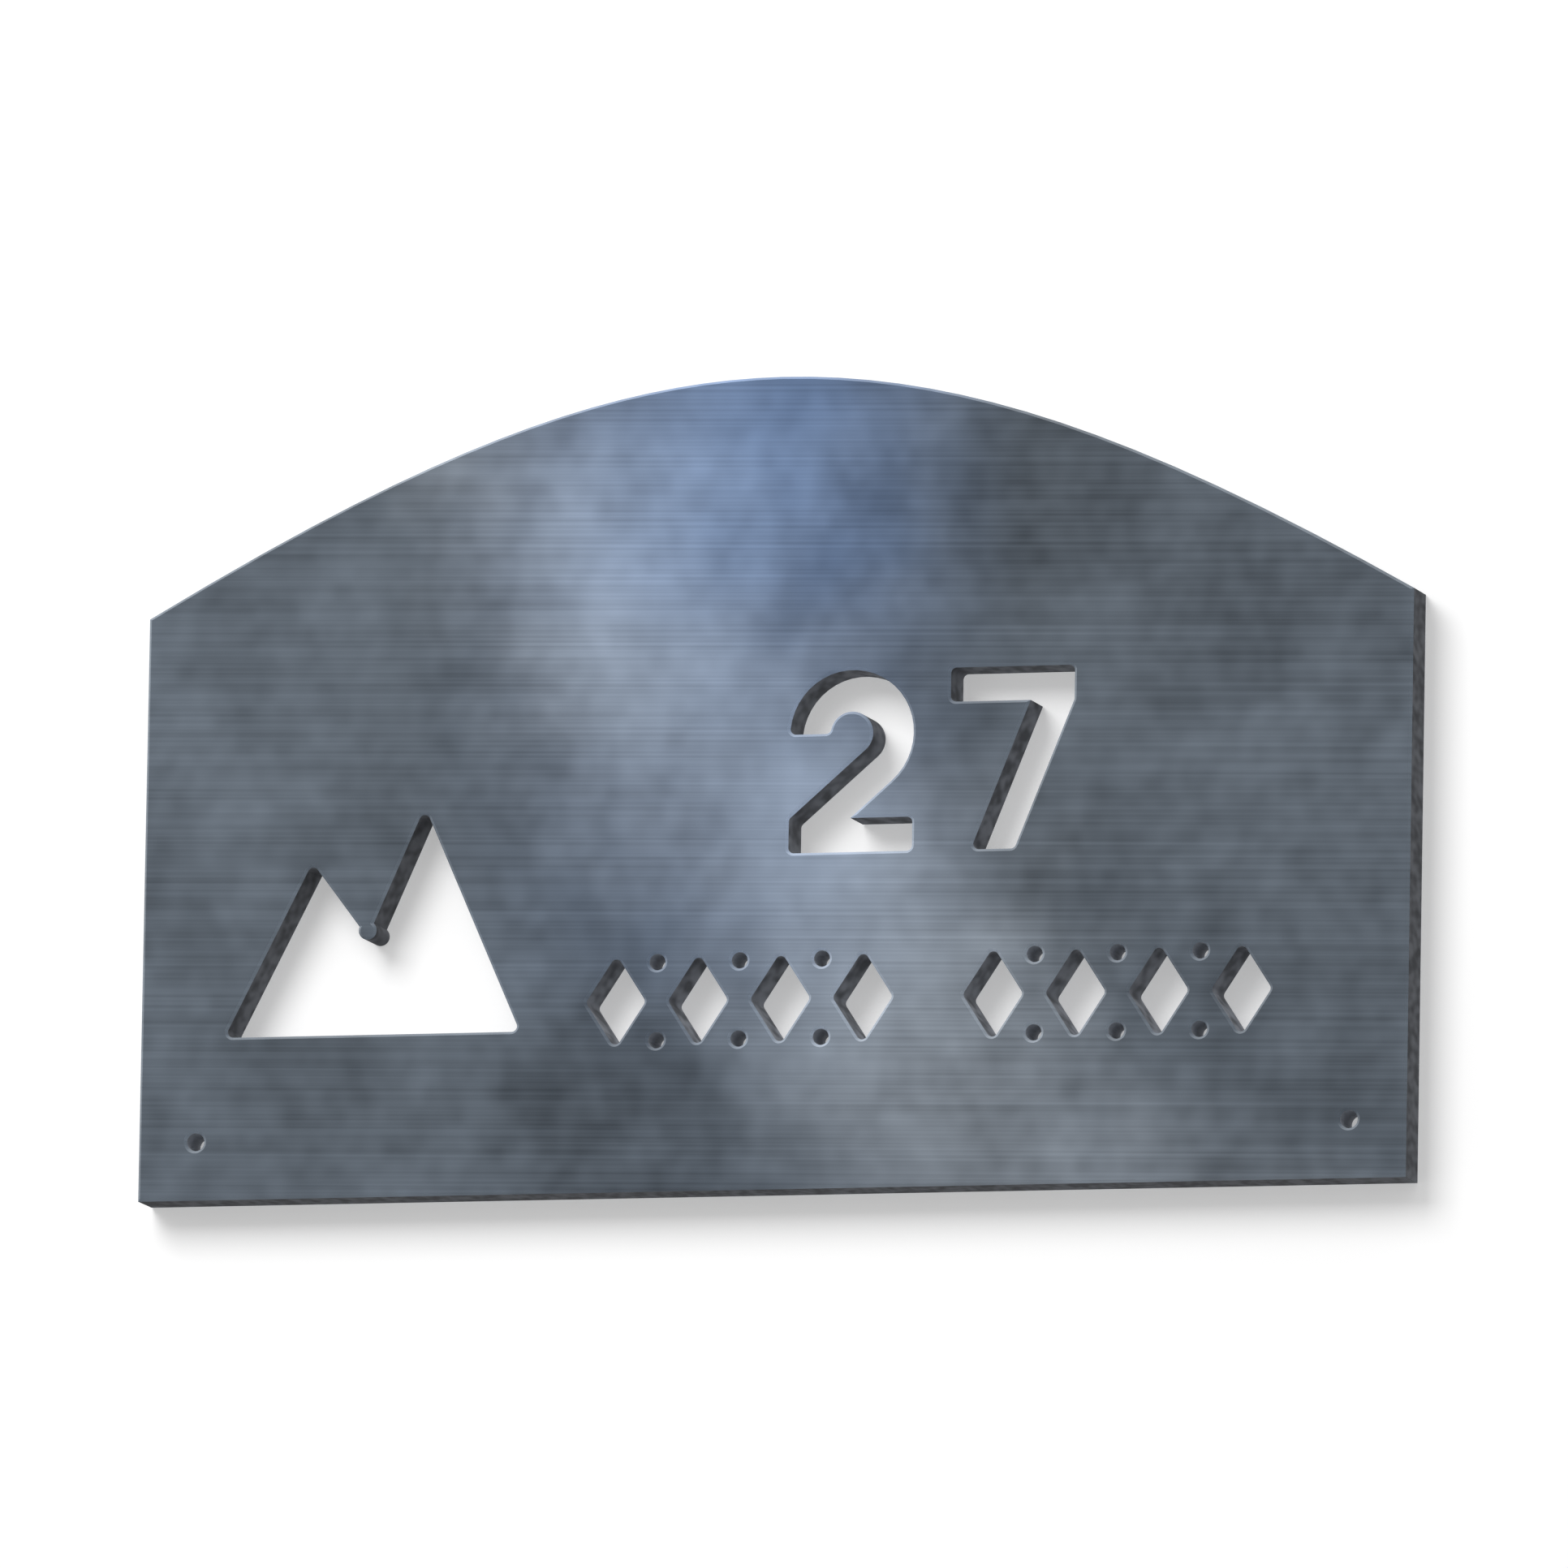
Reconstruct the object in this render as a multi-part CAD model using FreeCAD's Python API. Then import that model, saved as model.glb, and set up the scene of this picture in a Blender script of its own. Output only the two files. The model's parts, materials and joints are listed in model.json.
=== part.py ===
import FreeCAD, Part
import math
import os

# Arched steel address plaque, one plate cut right through and drilled.
# Millimetres. X runs to the viewer's right, Y runs into the wall and Z is up.
# The origin lies on the wall, halfway between the two screw holes.

# Plate
plate_width = 400.0
plate_thickness = 15.0
shoulder_height = 180.0
arch_rise = 70.0
arch_crown_span = 72.0

# Edges: every front edge is chamfered, and a round cutter leaves its radius in the corners of each cut
edge_chamfer = 0.8
cutter_radius = 1.75

# Screw holes near the lower corners, clear for 5 mm screws
screw_hole_bore = 5.5
screw_hole_side_inset = 18.0
screw_hole_bottom_inset = 18.0

# Two-peaked mountain, measured in from its left foot and up from its base line
mountain_side_margin = 26.5
mountain_base_height = 50.0
mountain_width = 94.0
low_peak_in = 27.0
low_peak_rise = 53.5
valley_in = 45.0
valley_rise = 30.0
high_peak_in = 62.5
high_peak_rise = 70.0
valley_knob_radius = 2.85
valley_knob_lift = 2.2

# Band of lozenges and beads beside the mountain, in two groups
mountain_to_band = 20.0
band_side_margin = 42.0
band_base_height = 44.0
band_height = 29.0
group_count = 2
group_gap = 20.5
lozenge_width = 19.0
lozenge_web = 7.0
bead_bore = 5.0

# House number, centred over the band
band_to_number = 30.0
number_height = 56.0
digit_width = 39.0
digit_gap = 11.5
stem_width = 12.8
bar_height = 10.5
seven_foot_in = 7.0

# Sides of the plate, with Y at zero on the wall
left_side = -plate_width / 2
right_side = plate_width / 2
bottom_edge = -screw_hole_bottom_inset
front_face = -plate_thickness

# Places that follow from the sizes above
mountain_left = left_side + mountain_side_margin
mountain_right = mountain_left + mountain_width
mountain_base = bottom_edge + mountain_base_height
band_left = mountain_right + mountain_to_band
band_right = right_side - band_side_margin
band_base = bottom_edge + band_base_height
number_base = band_base + band_height + band_to_number


def point(x, z):
    """A point on the wall plane."""
    return FreeCAD.Vector(x, 0, z)


def polygon_face(corners):
    """A flat face from its corners, given as (x, z) pairs in order."""
    outline = [point(x, z) for x, z in corners]
    return Part.Face(Part.makePolygon(outline + outline[:1]))


def disc_face(x, z, radius):
    """A flat round face."""
    return Part.Face(Part.Wire(Part.makeCircle(radius, point(x, z), FreeCAD.Vector(0, 1, 0))))


def reached_by_cutter(face):
    """What a round cutter can clear of a face: its outward corners keep the cutter's radius."""
    return face.makeOffset2D(-cutter_radius).makeOffset2D(cutter_radius)


def through_plate(face):
    """A cutting tool that carries a face from the wall plane out through the front."""
    return face.extrude(FreeCAD.Vector(0, front_face, 0))


def slope_past(start, centre, clearance):
    """Angle of the line from start that leaves centre on its right, the clearance away."""
    run = centre[0] - start[0]
    climb = centre[1] - start[1]
    return math.atan2(climb, run) + math.asin(clearance / math.hypot(run, climb))


def plate_blank():
    """The plate before cutting: straight foot and sides under one smooth arch."""
    shoulder = bottom_edge + shoulder_height
    # The crown of a symmetrical cubic curve stands at three quarters of its control points' height
    control_height = shoulder + arch_rise / 0.75
    left_shoulder = point(left_side, shoulder)
    right_shoulder = point(right_side, shoulder)
    left_foot = point(left_side, bottom_edge)
    right_foot = point(right_side, bottom_edge)
    arch = Part.BezierCurve()
    arch.setPoles([
        left_shoulder,
        point(-arch_crown_span / 2, control_height),
        point(arch_crown_span / 2, control_height),
        right_shoulder,
    ])
    sides = Part.makePolygon([right_shoulder, right_foot, left_foot, left_shoulder])
    return through_plate(Part.Face(Part.Wire([arch.toShape()] + sides.Edges)))


def mountain():
    """Two peaks on one base line, with the plate's tongue between them ending in a round knob."""
    ridge = [
        (0, 0),
        (low_peak_in, low_peak_rise),
        (valley_in, valley_rise),
        (high_peak_in, high_peak_rise),
        (mountain_width, 0),
    ]
    peaks = polygon_face([(mountain_left + x, mountain_base + z) for x, z in ridge])
    knob_height = mountain_base + valley_rise + valley_knob_lift
    knob = disc_face(mountain_left + valley_in, knob_height, valley_knob_radius)
    return reached_by_cutter(peaks).cut(knob).Faces


def lozenge(left):
    """One upright lozenge of the band."""
    middle = left + lozenge_width / 2
    waist = band_base + band_height / 2
    return reached_by_cutter(polygon_face([
        (left, waist),
        (middle, band_base + band_height),
        (left + lozenge_width, waist),
        (middle, band_base),
    ]))


def bead_pair(x):
    """Two round holes, level with the lozenges' upper and lower points."""
    radius = bead_bore / 2
    return [
        disc_face(x, band_base + band_height - radius, radius),
        disc_face(x, band_base + radius, radius),
    ]


def lozenge_group(left, length):
    """As many lozenges as fit the length, centred in it, with beads between neighbours."""
    pitch = lozenge_width + lozenge_web
    count = max(1, int((length + lozenge_web) // pitch))
    first = left + (length - count * pitch + lozenge_web) / 2
    cuts = [lozenge(first + number * pitch) for number in range(count)]
    for number in range(1, count):
        cuts += bead_pair(first + number * pitch - lozenge_web / 2)
    return cuts


def band():
    """The lozenge groups, side by side from the mountain to the right margin."""
    length = (band_right - band_left + group_gap) / group_count - group_gap
    cuts = []
    for number in range(group_count):
        cuts += lozenge_group(band_left + number * (length + group_gap), length)
    return cuts


def digit_two(left):
    """A two: a round bowl, a straight diagonal that leaves the bowl at a tangent, and a foot bar."""
    outer = digit_width / 2
    inner = outer - stem_width
    centre = (left + outer, number_base + number_height - outer)
    knee = (left, number_base + bar_height)
    right = left + digit_width
    slope = slope_past(knee, centre, -inner)
    outer_tangent = point(centre[0] + outer * math.sin(slope), centre[1] - outer * math.cos(slope))
    inner_tangent = point(centre[0] + inner * math.sin(slope), centre[1] - inner * math.cos(slope))
    bar_meets_diagonal = outer_tangent.x - (outer_tangent.z - knee[1]) / math.tan(slope)
    bowl_end = point(left, centre[1])
    bowl_end_inside = point(left + stem_width, centre[1])
    outer_bowl = Part.Arc(bowl_end, point(centre[0], centre[1] + outer), outer_tangent).toShape()
    inner_bowl = Part.Arc(inner_tangent, point(centre[0], centre[1] + inner), bowl_end_inside).toShape()
    foot = Part.makePolygon([
        outer_tangent,
        point(bar_meets_diagonal, knee[1]),
        point(right, knee[1]),
        point(right, number_base),
        point(left, number_base),
        point(*knee),
        inner_tangent,
    ])
    bowl_cap = Part.makeLine(bowl_end_inside, bowl_end)
    return reached_by_cutter(Part.Face(Part.Wire([outer_bowl] + foot.Edges + [inner_bowl, bowl_cap])))


def digit_seven(left):
    """A seven: a top bar, and a leaning stem of even width under the bar's right end."""
    right = left + digit_width
    top = number_base + number_height
    bar_underside = top - bar_height
    foot = left + seven_foot_in
    slope = slope_past((foot, number_base), (right, bar_underside), stem_width)
    lean = (bar_underside - number_base) / math.tan(slope)
    return reached_by_cutter(polygon_face([
        (left, top),
        (right, top),
        (right, bar_underside),
        (right - lean, number_base),
        (foot, number_base),
        (foot + lean, bar_underside),
        (left, bar_underside),
    ]))


def house_number():
    """The digits, side by side over the middle of the band."""
    middle = (band_left + band_right) / 2
    return [
        digit_two(middle - digit_gap / 2 - digit_width),
        digit_seven(middle + digit_gap / 2),
    ]


def screw_holes():
    """Two plain bores, the same distance in from each lower corner."""
    reach = right_side - screw_hole_side_inset
    return [disc_face(x, 0, screw_hole_bore / 2) for x in (-reach, reach)]


def on_front(edge):
    """True for an edge that lies in the front face."""
    box = edge.BoundBox
    middle_of_chamfer = front_face + edge_chamfer / 2
    return box.YMax < middle_of_chamfer


def plaque_plate():
    """The finished plate."""
    cuts = mountain() + band() + house_number() + screw_holes()
    plate = plate_blank().cut([through_plate(face) for face in cuts])
    return plate.makeChamfer(edge_chamfer, [edge for edge in plate.Edges if on_front(edge)])


os.makedirs("parts", exist_ok=True)
plaque_plate().exportStep("parts/plaque_plate.step")
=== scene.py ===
import bmesh
import bpy
import json
import math
from mathutils import Matrix, Vector


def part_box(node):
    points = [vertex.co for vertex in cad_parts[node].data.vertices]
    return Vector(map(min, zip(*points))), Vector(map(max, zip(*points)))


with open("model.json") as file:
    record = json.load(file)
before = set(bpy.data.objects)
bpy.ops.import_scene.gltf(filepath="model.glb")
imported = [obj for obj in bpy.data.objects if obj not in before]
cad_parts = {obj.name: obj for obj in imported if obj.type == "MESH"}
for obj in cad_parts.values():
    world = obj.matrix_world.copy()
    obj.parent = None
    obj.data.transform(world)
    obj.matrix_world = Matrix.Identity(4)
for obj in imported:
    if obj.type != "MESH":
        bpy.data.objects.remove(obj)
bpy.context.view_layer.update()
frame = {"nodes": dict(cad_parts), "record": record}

# The plate's own places, in metres: X to the right, Y into the wall, Z up
millimetre = 0.001
plate_low, plate_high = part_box("plaque_plate")
plate_bottom = plate_low.z
plate_top = plate_high.z
plate_front = plate_low.y
plate_back = plate_high.y

# Screw holes, level with the origin and the same distance to each side of it
screw_holes = frame["record"]["mounts"][0]["dims"]
screw_hole_reach = screw_holes["spacing_x_mm"] / 2 * millimetre
screw_hole_radius = screw_holes["hole_r_mm"] * millimetre

# Small drilled holes of the band, in two rows and two groups
bead_radius = 0.0025
bead_heights = (0.0285, 0.0525)
bead_group_starts = (-0.03625, 0.08275)
beads_in_group = 3
bead_pitch = 0.026

# Where the cut-outs lie: all of them, and the gaps between the mountain, the band and the number
cuts_reach = 0.19
cuts_foot = -0.01
cuts_top = 0.15
cuts_fade = 0.004
mountain_right = -0.076
band_left = -0.064
band_top = 0.06
number_foot = 0.08

# Camera: far off with a long lens, to the right of the plate and below it
view_azimuth = 15.8
view_elevation = -8.3
view_roll = 1.0
view_distance = 9.0
view_lens = 679.0
sensor_width = 36.0
sight_reach = 27.0
aim = Vector((0.003, plate_front, 0.1063))

# Stage: a pale wall right behind the plate and a pale floor at the foot of the wall
wall_gap = 0.0005
wall_half_width = 1.2
wall_above = 1.2
wall_below = 1.5
floor_depth = 2.5
cove_radius = 0.25
cove_segments = 12
stage_white = (0.745, 0.745, 0.745, 1.0)
stage_glow = 0.355

# Light: a soft surround, strongest from above and a little to the left,
# and a soft lamp at the upper left that casts the shadow
white = (1.0, 1.0, 1.0, 1.0)
surround_strength = 0.45
surround_lean = 0.38
surround_leans_to = (-0.38, 0.0, 0.925)
shadow_lamp_from = (-0.42, -1.0, 0.68)
shadow_lamp_distance = 2.6
shadow_lamp_size = 1.45
shadow_lamp_power = 51.0

# Brushed lines, almost level, and clouds of every size from broad to small
noise_middle = 0.5
brush_pitch = 0.001
brush_length = 0.3
brush_tilt = -1.36
brush_finer_lines = 1.0
brush_contrast = 0.6
brush_relief = 0.00004
finer_patch_strength = 0.85
cloud_size = 0.05
cloud_finer_patches = 3.0
cloud_seed = 0.0
cloud_contrast = 1.65
cloud_calm = 0.4
cloud_polish = -0.2
face_roughness = 0.38

# Painted reflection: a pale sweep across the face, with a ragged edge, and a painted blue tint that lies
# over the plate's middle
reflection_width = 0.2
reflection_ragged = 0.55
ragged_size = 0.03
ragged_finer_patches = 1.0
ragged_seed = 1.0
blue_left = -0.125
blue_right = 0.085

# Painted light on the face: painted darker from left to right, as light falling off from the left, and
# broad patches of painted light and shade around the painted reflection, lighter or darker than the
# rest: place across, height above the foot, reach and change
painted_light_lean = -0.35
painted_shading_patches = [
    (-0.06, 0.012, 0.06, -0.44),
    (0.075, 0.21, 0.055, -0.2),
    (0.19, 0.115, 0.07, 0.2),
    (0.012, 0.113, 0.045, 0.2),
    (-0.055, 0.088, 0.045, 0.22),
    (0.19, 0.035, 0.06, -0.13),
]

# Cut walls: dark scale in small blotches, painted lighter in the cut-outs and lightest in the band,
# where less light reaches the walls, and bare steel in the drilled holes, painted lighter still for the
# light the narrow holes don't get, out to a little past their radius
scale_size = 0.005
scale_finer_patches = 1.0
scale_drag = 0.5
scale_spread = 0.2
scale_roughness = 0.75
cut_lift_mountain = 1.25
cut_lift_number = 1.45
cut_lift_band = 1.9
bored_full = 1.1
bored_faded = 1.4

# Chamfers: matt, with a painted highlight where they face up or to the left, towards the lamp, and
# painted lighter where they face down or to the right, away from it.
# How far a chamfer faces the lit side runs from -1 to 1
chamfer_lit_side = (-0.53, 0.0, 0.85)
chamfer_painted_glint = 0.1
chamfer_glint_starts = -0.2
chamfer_glint_full = 0.5
chamfer_lift = 1.45
chamfer_lift_shaded = 2.35
chamfer_shade_starts = -0.2
chamfer_shade_full = -0.7
chamfer_roughness = 0.6
bare_specular = 0.06

# Which way a surface faces, by its normal along Y: -1 straight out of the wall, 1 straight into it
face_turned = -0.85
chamfer_turned = -0.4
back_turned = 0.85
turn_softness = 0.1


def screen_colour(red, green, blue):
    """A linear colour from screen values of 0 to 255."""
    def linear(value):
        share = value / 255
        return share / 12.92 if share <= 0.04045 else ((share + 0.055) / 1.055) ** 2.4
    return (linear(red), linear(green), linear(blue), 1.0)


slate = screen_colour(93, 101, 110)
# Colours of the painted reflection: pale grey, and blue where it is tinted
reflected_pale_grey = screen_colour(152, 160, 169)
reflected_blue_slate = screen_colour(76, 97, 130)
reflected_pale_blue = screen_colour(135, 156, 189)
dark_scale = screen_colour(82, 84, 88)
worn_scale = screen_colour(128, 131, 137)
# Bare drilled steel, painted light enough to stand for light the narrow holes don't get
bored_steel_and_painted_light = screen_colour(174, 178, 185)
# Painted highlight on the chamfers that face the lamp
painted_glint_steel = screen_colour(229, 231, 234)


class Tree:
    """A node tree with short ways to place and join nodes."""

    def __init__(self, tree):
        self.tree = tree

    def join(self, value, socket):
        """Links a socket to an input, or sets the input to a plain value."""
        if isinstance(value, bpy.types.NodeSocket):
            self.tree.links.new(value, socket)
        else:
            socket.default_value = value

    def place(self, kind, inputs=None, **settings):
        """Places one node, sets its options and joins its inputs."""
        node = self.tree.nodes.new(kind)
        for name, value in settings.items():
            setattr(node, name, value)
        for name, value in (inputs or {}).items():
            self.join(value, node.inputs[name])
        return node

    def group(self, group, inputs):
        """Places a node group and gives its outputs."""
        return self.place("ShaderNodeGroup", inputs, node_tree=group).outputs

    def math(self, operation, first, second=0.0, third=0.0):
        """One sum on two or three values."""
        inputs = {0: first, 1: second, 2: third}
        return self.place("ShaderNodeMath", inputs, operation=operation).outputs[0]

    def ramp(self, value, low, high, low_result=0.0, high_result=1.0):
        """A smooth step of a value from one range to another."""
        node = self.place("ShaderNodeMapRange", {
            "Value": value,
            "From Min": low,
            "From Max": high,
            "To Min": low_result,
            "To Max": high_result,
        }, interpolation_type="SMOOTHSTEP")
        return node.outputs["Result"]

    def blend(self, share, first, second):
        """A value between two values. On this node the values are inputs 2 and 3 and output 0."""
        return self.place("ShaderNodeMix", {0: share, 2: first, 3: second}).outputs[0]

    def mix(self, share, first, second):
        """A colour between two colours. On this node the colours are inputs 6 and 7 and output 2."""
        inputs = {0: share, 6: first, 7: second}
        return self.place("ShaderNodeMix", inputs, data_type="RGBA").outputs[2]

    def scale(self, colour, factor):
        """A colour made darker or lighter."""
        inputs = {0: colour, "Scale": factor}
        return self.place("ShaderNodeVectorMath", inputs, operation="SCALE").outputs[0]

    def axes(self, vector):
        """A vector's three parts."""
        return self.place("ShaderNodeSeparateXYZ", {"Vector": vector}).outputs

    def along(self, vector, direction):
        """How far a vector points in a direction."""
        inputs = {0: vector, 1: direction}
        return self.place("ShaderNodeVectorMath", inputs, operation="DOT_PRODUCT").outputs["Value"]

    def noise(self, inputs, **settings):
        """Soft random blotches, as a value around zero."""
        node = self.place("ShaderNodeTexNoise", inputs, **settings)
        return self.math("SUBTRACT", node.outputs["Fac"], noise_middle)

    def curve(self, value, points):
        """A value looked up on a smooth curve through a few (place, height) points."""
        node = self.place("ShaderNodeFloatCurve", {"Value": value})
        line = node.mapping.curves[0]
        line.points[0].location = points[0]
        line.points[-1].location = points[-1]
        for point in points[1:-1]:
            line.points.new(*point)
        node.mapping.update()
        return node.outputs["Value"]


def new_group(name, inputs, outputs):
    """An empty node group with named sockets: the group, its tree, its inputs and its outputs."""
    group = bpy.data.node_groups.new(name, "ShaderNodeTree")
    for socket, kind in inputs.items():
        group.interface.new_socket(name=socket, in_out="INPUT", socket_type="NodeSocket" + kind)
    for socket, kind in outputs.items():
        group.interface.new_socket(name=socket, in_out="OUTPUT", socket_type="NodeSocket" + kind)
    tree = Tree(group)
    return group, tree, tree.place("NodeGroupInput").outputs, tree.place("NodeGroupOutput").inputs


def mottling_group():
    """Soft blotches, with smaller ones inside them, as a value around zero."""
    group, tree, given, result = new_group(
        "Mottling",
        {"Vector": "Vector", "Patch Size": "Float", "Smaller Patches": "Float", "Seed": "Float"},
        {"Value": "Float"},
    )
    blotches = tree.noise({
        "Vector": given["Vector"],
        "W": given["Seed"],
        "Scale": tree.math("DIVIDE", 1.0, given["Patch Size"]),
        "Detail": given["Smaller Patches"],
        "Roughness": finer_patch_strength,
    }, noise_dimensions="4D")
    tree.join(blotches, result["Value"])
    return group


def brushing_group():
    """Fine lines along X, left by a brush, as a value around zero."""
    group, tree, given, result = new_group(
        "Brushed lines",
        {"Vector": "Vector", "Line Pitch": "Float", "Line Length": "Float"},
        {"Value": "Float"},
    )
    axes = tree.axes(given["Vector"])
    drawn_out = tree.place("ShaderNodeCombineXYZ", {
        "X": tree.math("DIVIDE", axes["X"], given["Line Length"]),
        "Z": tree.math("DIVIDE", axes["Z"], given["Line Pitch"]),
    }).outputs["Vector"]
    lines = tree.noise({"Vector": drawn_out, "Scale": 1.0, "Detail": brush_finer_lines})
    tree.join(lines, result["Value"])
    return group


def painted_reflection_group():
    """A painted reflection: a pale sweep that wanders from the crown down to the right of the foot,
    painted bluest at the crown.
    """
    group, tree, given, result = new_group(
        "Painted reflection",
        {"Vector": "Vector", "Ragged": "Float"},
        {"Paleness": "Float", "Reflected Blue": "Float"},
    )
    axes = tree.axes(given["Vector"])
    above_foot = tree.math("SUBTRACT", axes["Z"], plate_bottom)
    height = tree.math("DIVIDE", above_foot, plate_top - plate_bottom)
    # These curves run from the foot to the crown. The first three give shares of the sweep's width
    middle = tree.math("MULTIPLY_ADD", tree.curve(height, [
        (0.0, 0.83), (0.16, 0.68), (0.32, 0.63), (0.48, 0.47), (0.64, 0.27), (0.82, 0.26), (1.0, 0.41),
    ]), reflection_width, -reflection_width / 2)
    left_reach = tree.math("MULTIPLY", tree.curve(height, [
        (0.0, 0.43), (0.16, 0.35), (0.45, 0.48), (0.64, 0.35), (0.82, 0.43), (1.0, 0.95),
    ]), reflection_width)
    right_reach = tree.math("MULTIPLY", tree.curve(height, [
        (0.0, 0.8), (0.32, 0.45), (0.48, 0.56), (1.0, 0.52),
    ]), reflection_width)
    strength = tree.curve(height, [
        (0.0, 0.4), (0.16, 0.58), (0.32, 0.74), (0.48, 0.68), (0.84, 0.94), (0.94, 0.62), (1.0, 0.45),
    ])
    blue_strength = tree.curve(height, [
        (0.0, 0.04), (0.16, 0.08), (0.32, 0.3), (0.64, 0.48), (0.82, 0.97), (1.0, 1.0),
    ])
    beside = tree.math("SUBTRACT", axes["X"], middle)
    to_left = tree.math("DIVIDE", beside, left_reach)
    to_right = tree.math("DIVIDE", beside, right_reach)
    aside = tree.math("MAXIMUM", to_right, tree.math("MULTIPLY", to_left, -1.0))
    shape = tree.ramp(tree.math("ADD", aside, given["Ragged"]), 1.0, 0.0)
    blue_from_left = tree.ramp(axes["X"], blue_left, 0.0)
    blue_from_right = tree.ramp(axes["X"], blue_right, 0.0)
    blue_shape = tree.math("MULTIPLY", blue_from_left, blue_from_right)
    tree.join(tree.math("MULTIPLY", shape, strength), result["Paleness"])
    tree.join(tree.math("MULTIPLY", blue_shape, blue_strength), result["Reflected Blue"])
    return group


def painted_cut_light_group():
    """How much lighter the scale is painted in the cut-outs than on the plate's outer sides: painted
    light for walls that little light reaches.
    """
    group, tree, given, result = new_group(
        "Painted light in the cut-outs",
        {"Vector": "Vector"},
        {"Lift": "Float"},
    )
    axes = tree.axes(given["Vector"])
    inside = tree.ramp(tree.math("ABSOLUTE", axes["X"]), cuts_reach + cuts_fade, cuts_reach)
    inside = tree.math("MULTIPLY", inside, tree.ramp(axes["Z"], cuts_foot - cuts_fade, cuts_foot))
    inside = tree.math("MULTIPLY", inside, tree.ramp(axes["Z"], cuts_top + cuts_fade, cuts_top))
    past_mountain = tree.ramp(axes["X"], mountain_right, band_left)
    lift = tree.ramp(axes["Z"], band_top, number_foot, cut_lift_band, cut_lift_number)
    lift = tree.blend(past_mountain, cut_lift_mountain, lift)
    lift = tree.blend(inside, 1.0, lift)
    tree.join(lift, result["Lift"])
    return group


def patch_group():
    """One soft round patch, as a share that is full in its core and gone at its reach."""
    group, tree, given, result = new_group(
        "Round patch",
        {"Vector": "Vector", "Centre": "Vector", "Core": "Float", "Reach": "Float"},
        {"Share": "Float"},
    )
    ends = {0: given["Vector"], 1: given["Centre"]}
    away = tree.place("ShaderNodeVectorMath", ends, operation="DISTANCE").outputs["Value"]
    tree.join(tree.ramp(away, given["Reach"], given["Core"]), result["Share"])
    return group


mottling = mottling_group()
patch = patch_group()


def drilled_holes():
    """Each drilled hole as its place across, its height and its radius."""
    holes = [(side * screw_hole_reach, 0.0, screw_hole_radius) for side in (-1, 1)]
    for start in bead_group_starts:
        for number in range(beads_in_group):
            across = start + number * bead_pitch
            holes += [(across, height, bead_radius) for height in bead_heights]
    return holes


def brushed_steel(tree, place, flat_place, worked, clouds, lines):
    """Brushed steel with clouds. The painted reflection, the painted light from left to right and the
    broad patches of painted light and shade stay off the plate's back.
    """
    ragged = tree.group(mottling, {
        "Vector": place,
        "Patch Size": ragged_size,
        "Smaller Patches": ragged_finer_patches,
        "Seed": ragged_seed,
    })["Value"]
    sweep = tree.group(painted_reflection_group(), {
        "Vector": place,
        "Ragged": tree.math("MULTIPLY", ragged, reflection_ragged),
    })
    # The painted reflection and its blue tint, on the face and the chamfers only
    reflection_share = tree.math("MULTIPLY", sweep["Paleness"], worked)
    reflected_blue = tree.math("MULTIPLY", sweep["Reflected Blue"], worked)
    grey = tree.mix(reflection_share, slate, reflected_pale_grey)
    blue = tree.mix(reflection_share, reflected_blue_slate, reflected_pale_blue)

    # Painted light: darker from left to right, then broad patches of painted light and shade
    broad = tree.math("MULTIPLY", tree.axes(place)["X"], painted_light_lean)
    for across, height, reach, change in painted_shading_patches:
        share = tree.group(patch, {
            "Vector": flat_place,
            "Centre": (across, 0.0, plate_bottom + height),
            "Core": 0.0,
            "Reach": reach,
        })["Share"]
        broad = tree.math("MULTIPLY_ADD", share, change, broad)
    contrast = tree.math("MULTIPLY_ADD", reflection_share, -cloud_calm * cloud_contrast, cloud_contrast)
    shade = tree.math("MULTIPLY_ADD", broad, worked, 1.0)
    shade = tree.math("MULTIPLY_ADD", clouds, contrast, shade)
    shade = tree.math("MULTIPLY_ADD", lines, brush_contrast, shade)
    return tree.scale(tree.mix(reflected_blue, grey, blue), shade)


def scaled_walls(tree, place, flat_place):
    """Blotchy scale on the cut walls, drawn out front to back and painted lighter in the cut-outs, and
    bare steel in the drilled holes, painted lighter for the light they don't get.
    """
    drawn_out = tree.place("ShaderNodeMapping", {
        "Vector": place,
        "Scale": (1.0, scale_drag, 1.0),
    }).outputs["Vector"]
    blotches = tree.group(mottling, {
        "Vector": drawn_out,
        "Patch Size": scale_size,
        "Smaller Patches": scale_finer_patches,
    })["Value"]
    scale = tree.mix(tree.ramp(blotches, -scale_spread, scale_spread), dark_scale, worn_scale)
    # Painted light: the scale is lighter in the cut-outs, where little light reaches
    scale = tree.scale(scale, tree.group(painted_cut_light_group(), {"Vector": place})["Lift"])

    # Bare drilled steel in the holes, painted lighter to stand for light that the narrow holes don't get
    bored = 0.0
    for across, height, radius in drilled_holes():
        share = tree.group(patch, {
            "Vector": flat_place,
            "Centre": (across, 0.0, height),
            "Core": bored_full * radius,
            "Reach": bored_faded * radius,
        })["Share"]
        bored = tree.math("MAXIMUM", bored, share)
    return tree.mix(bored, scale, bored_steel_and_painted_light)


def matt_chamfers(tree, normal, steel):
    """The face's steel on the chamfers, with a painted highlight up and to the left, and painted lighter
    down and to the right.
    """
    turned = tree.along(normal, chamfer_lit_side)
    lift = tree.ramp(turned, chamfer_shade_full, chamfer_shade_starts, chamfer_lift_shaded, chamfer_lift)
    # Painted highlight where the chamfer faces the lamp, painted light where it faces away
    glint = tree.ramp(turned, chamfer_glint_starts, chamfer_glint_full, 0.0, chamfer_painted_glint)
    return tree.mix(glint, tree.scale(steel, lift), painted_glint_steel)


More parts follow.
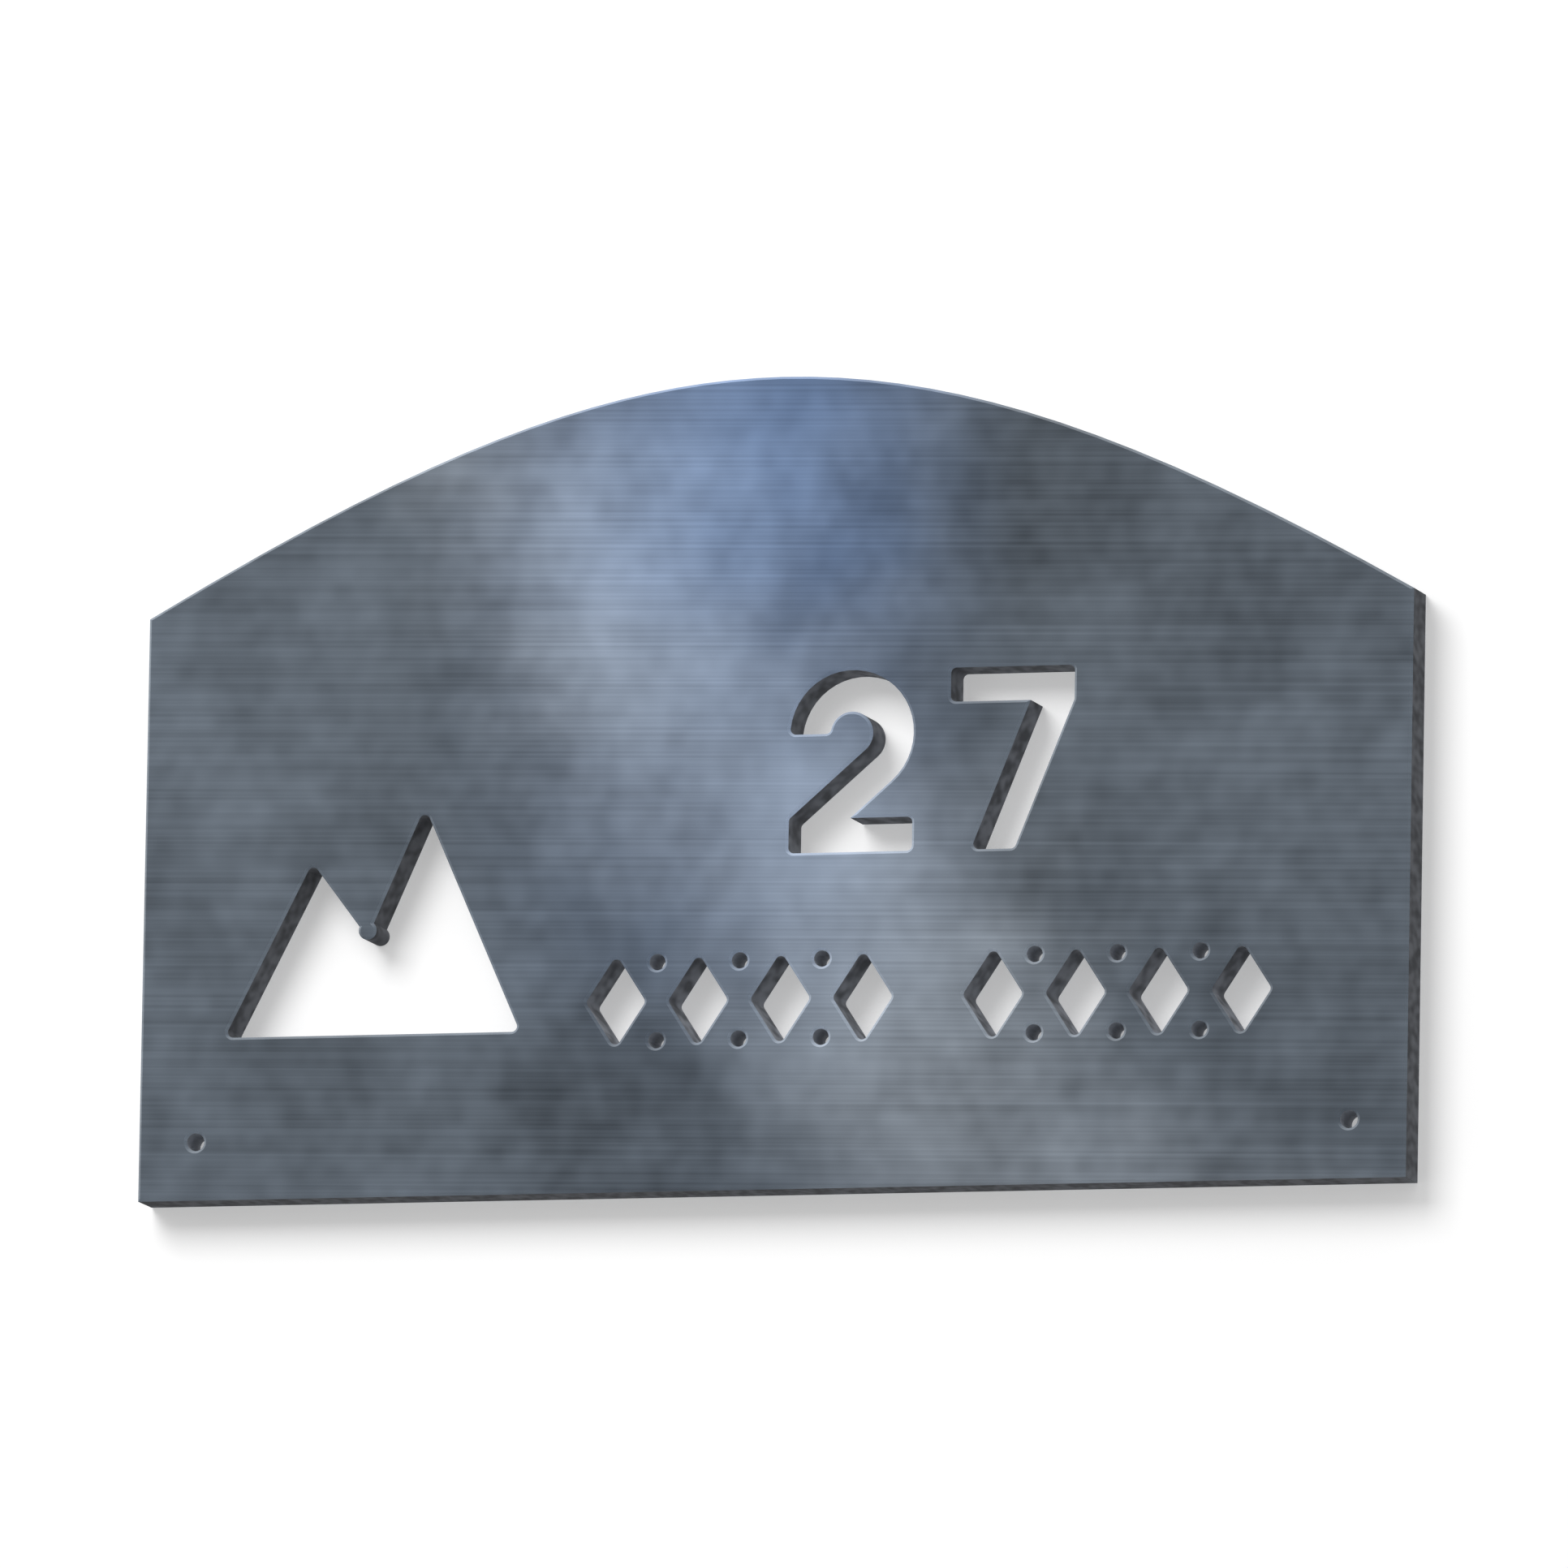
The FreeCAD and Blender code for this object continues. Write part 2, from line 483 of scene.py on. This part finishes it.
def new_material(name):
    """An empty material and its tree."""
    material = bpy.data.materials.new(name)
    material.use_nodes = True
    material.node_tree.nodes.clear()
    return material, Tree(material.node_tree)


def plate_steel():
    """Brushed metal on the face and the back, scale on the cut walls and matt chamfers between."""
    material, tree = new_material("plate_steel")
    place = tree.place("ShaderNodeTexCoord").outputs["Object"]
    flat_place = tree.place("ShaderNodeMapping", {
        "Vector": place,
        "Scale": (1.0, 0.0, 1.0),
    }).outputs["Vector"]
    normal = tree.place("ShaderNodeNewGeometry").outputs["True Normal"]
    facing = tree.axes(normal)["Y"]
    front = tree.ramp(facing, face_turned + turn_softness, face_turned - turn_softness)
    back = tree.ramp(facing, back_turned - turn_softness, back_turned + turn_softness)
    bright = tree.math("ADD", front, back)
    # The face and the chamfers together
    worked = tree.ramp(facing, chamfer_turned + turn_softness, chamfer_turned - turn_softness)

    clouds = tree.group(mottling, {
        "Vector": place,
        "Patch Size": cloud_size,
        "Smaller Patches": cloud_finer_patches,
        "Seed": cloud_seed,
    })["Value"]
    tilted = tree.place("ShaderNodeMapping", {
        "Vector": place,
        "Rotation": (0.0, math.radians(brush_tilt), 0.0),
    }).outputs["Vector"]
    lines = tree.group(brushing_group(), {
        "Vector": tilted,
        "Line Pitch": brush_pitch,
        "Line Length": brush_length,
    })["Value"]
    steel = brushed_steel(tree, place, flat_place, worked, clouds, lines)
    walls = scaled_walls(tree, place, flat_place)
    bare = tree.mix(worked, walls, matt_chamfers(tree, normal, steel))

    bright_roughness = tree.math("MULTIPLY_ADD", clouds, cloud_polish, face_roughness)
    bare_roughness = tree.blend(worked, scale_roughness, chamfer_roughness)
    bump = tree.place("ShaderNodeBump", {"Height": lines, "Strength": 1.0, "Distance": brush_relief})
    shader = tree.place("ShaderNodeBsdfPrincipled", {
        "Base Color": tree.mix(bright, bare, steel),
        "Metallic": bright,
        "Roughness": tree.blend(bright, bare_roughness, bright_roughness),
        "Specular IOR Level": bare_specular,
        "Normal": bump.outputs["Normal"],
    })
    tree.place("ShaderNodeOutputMaterial", {"Surface": shader.outputs["BSDF"]})
    return material


def pale_stage():
    """Matt white that only the camera sees, and only from in front, so the plate's back stays lit."""
    material, tree = new_material("pale_stage")
    matt = tree.place("ShaderNodeBsdfDiffuse", {"Color": stage_white})
    glow = tree.place("ShaderNodeEmission", {"Color": white, "Strength": stage_glow})
    lit = tree.place("ShaderNodeAddShader", {0: matt.outputs[0], 1: glow.outputs[0]})
    clear = tree.place("ShaderNodeBsdfTransparent")
    behind = tree.place("ShaderNodeNewGeometry").outputs["Backfacing"]
    from_front = tree.math("SUBTRACT", 1.0, behind)
    by_camera = tree.place("ShaderNodeLightPath").outputs["Is Camera Ray"]
    seen = tree.math("MULTIPLY", from_front, by_camera)
    shown = tree.place("ShaderNodeMixShader", {0: seen, 1: clear.outputs[0], 2: lit.outputs[0]})
    tree.place("ShaderNodeOutputMaterial", {"Surface": shown.outputs[0]})
    return material


def build_stage():
    """Wall and floor in one sheet, joined by a cove."""
    sheet = bmesh.new()
    wall_face = plate_back + wall_gap
    floor = plate_bottom - wall_below
    profile = [(wall_face, plate_top + wall_above), (wall_face, floor + cove_radius)]
    for step in range(1, cove_segments):
        turn = math.pi / 2 * step / cove_segments
        profile.append((
            wall_face - cove_radius * (1 - math.cos(turn)),
            floor + cove_radius * (1 - math.sin(turn)),
        ))
    profile += [(wall_face - cove_radius, floor), (wall_face - floor_depth, floor)]
    points = [sheet.verts.new((-wall_half_width, y, z)) for y, z in profile]
    edges = [sheet.edges.new(pair) for pair in zip(points, points[1:])]
    swept = bmesh.ops.extrude_edge_only(sheet, edges=edges)
    moved = [item for item in swept["geom"] if isinstance(item, bmesh.types.BMVert)]
    bmesh.ops.translate(sheet, verts=moved, vec=(2 * wall_half_width, 0, 0))
    # The wall has to face the plate, whichever way the sheet was drawn
    sheet.normal_update()
    if sum(face.normal.y for face in sheet.faces) > 0:
        bmesh.ops.reverse_faces(sheet, faces=sheet.faces[:])
    mesh = bpy.data.meshes.new("studio_sheet")
    sheet.to_mesh(mesh)
    sheet.free()
    mesh.materials.append(pale_stage())
    stage = bpy.data.objects.new("studio_sheet", mesh)
    bpy.context.collection.objects.link(stage)


def light_world():
    """A soft pale surround, plain white where the camera or the metal looks straight at it."""
    world = bpy.data.worlds.new("studio")
    bpy.context.scene.world = world
    world.use_nodes = True
    world.node_tree.nodes.clear()
    tree = Tree(world.node_tree)
    rays = tree.place("ShaderNodeLightPath").outputs
    direct = tree.math("MAXIMUM", rays["Is Camera Ray"], rays["Is Glossy Ray"])
    direct = tree.math("MAXIMUM", direct, rays["Is Transmission Ray"])
    direction = tree.place("ShaderNodeTexCoord").outputs["Generated"]
    towards = tree.along(direction, surround_leans_to)
    strength = tree.math("MULTIPLY_ADD", towards, surround_lean, surround_strength)
    soft = tree.place("ShaderNodeBackground", {"Color": white, "Strength": strength})
    plain = tree.place("ShaderNodeBackground", {"Color": white, "Strength": 1.0})
    shown = tree.place("ShaderNodeMixShader", {0: direct, 1: soft.outputs[0], 2: plain.outputs[0]})
    tree.place("ShaderNodeOutputWorld", {"Surface": shown.outputs[0]})


def light_plate():
    """A large soft lamp at the upper left, which casts the shadow and isn't mirrored in the metal."""
    data = bpy.data.lights.new("shadow_lamp", "AREA")
    data.shape = "SQUARE"
    data.size = shadow_lamp_size
    data.energy = shadow_lamp_power
    lamp = bpy.data.objects.new("shadow_lamp", data)
    towards = Vector(shadow_lamp_from).normalized()
    lamp.location = aim + towards * shadow_lamp_distance
    lamp.rotation_mode = "QUATERNION"
    lamp.rotation_quaternion = towards.to_track_quat("Z", "Y")
    lamp.visible_camera = False
    lamp.visible_glossy = False
    bpy.context.collection.objects.link(lamp)


def place_camera():
    """The camera, turned a little on its own axis."""
    data = bpy.data.cameras.new("camera")
    data.sensor_width = sensor_width
    data.lens = view_lens
    data.clip_end = sight_reach
    azimuth = math.radians(view_azimuth)
    elevation = math.radians(view_elevation)
    back = Vector((
        math.sin(azimuth) * math.cos(elevation),
        -math.cos(azimuth) * math.cos(elevation),
        math.sin(elevation),
    ))
    level = (-back).to_track_quat("-Z", "Y").to_matrix()
    roll = Matrix.Rotation(math.radians(view_roll), 3, "Z")
    camera = bpy.data.objects.new("camera", data)
    camera.rotation_mode = "QUATERNION"
    camera.rotation_quaternion = (level @ roll).to_quaternion()
    camera.location = aim + back * view_distance
    bpy.context.collection.objects.link(camera)
    bpy.context.scene.camera = camera


frame["nodes"]["plaque_plate"].material_slots[0].material = plate_steel()
build_stage()
light_world()
light_plate()
place_camera()
bpy.context.scene.view_settings.view_transform = "Standard"
